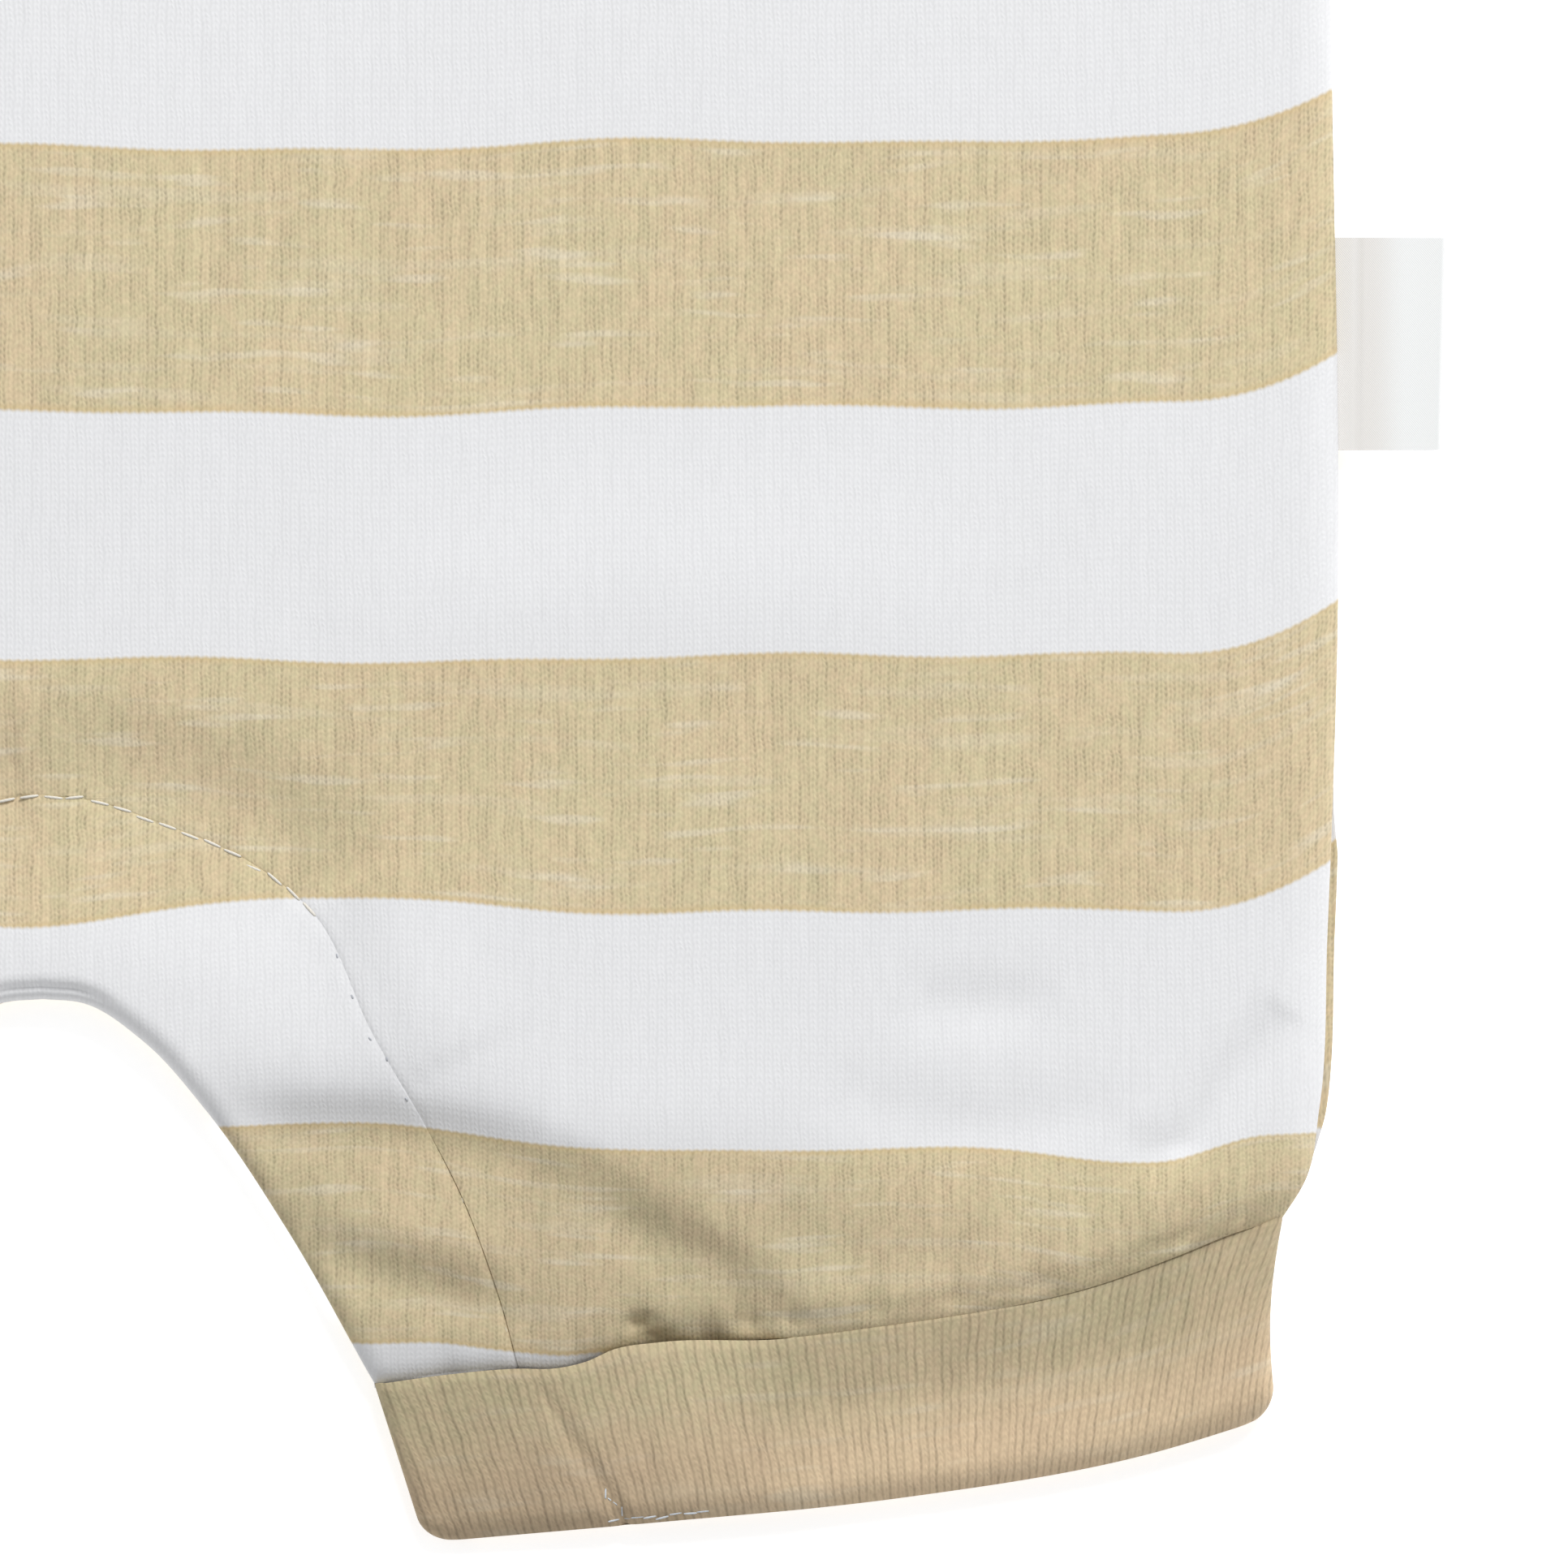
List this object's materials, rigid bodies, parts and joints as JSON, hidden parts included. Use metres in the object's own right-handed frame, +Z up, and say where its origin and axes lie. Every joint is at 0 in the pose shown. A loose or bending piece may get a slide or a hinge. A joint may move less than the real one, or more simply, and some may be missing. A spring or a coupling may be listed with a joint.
{
  "type": "baby romper",
  "caption": "Baby's short striped romper laid flat on its back: short sleeves, lap shoulders, nappy gusset and gathered leg cuffs.",
  "frame": {"origin": "on the surface that the romper lies on, under the middle of its length and width", "axes": "+Z up, away from the surface; +Y toward the neck; +X toward the wearer's left side"},
  "size_m": [0.3892, 0.4242, 0.0055],
  "materials": {
    "striped_jersey": "matte slub knit, white with khaki stripes",
    "khaki_jersey": "matte slub knit, khaki",
    "label_tape": "smooth woven tape, off-white",
    "sewing_thread": "spun thread, off-white"
  },
  "bodies": {
    "root": {"front_panel": "striped_jersey", "back_panel": "striped_jersey", "crotch_gusset": "striped_jersey", "sleeve_left": "striped_jersey", "sleeve_right": "striped_jersey", "leg_cuff_left": "khaki_jersey", "leg_cuff_right": "khaki_jersey", "neck_binding_front": "khaki_jersey", "neck_binding_back": "khaki_jersey", "side_label": "label_tape"}
  },
  "joints": []
}
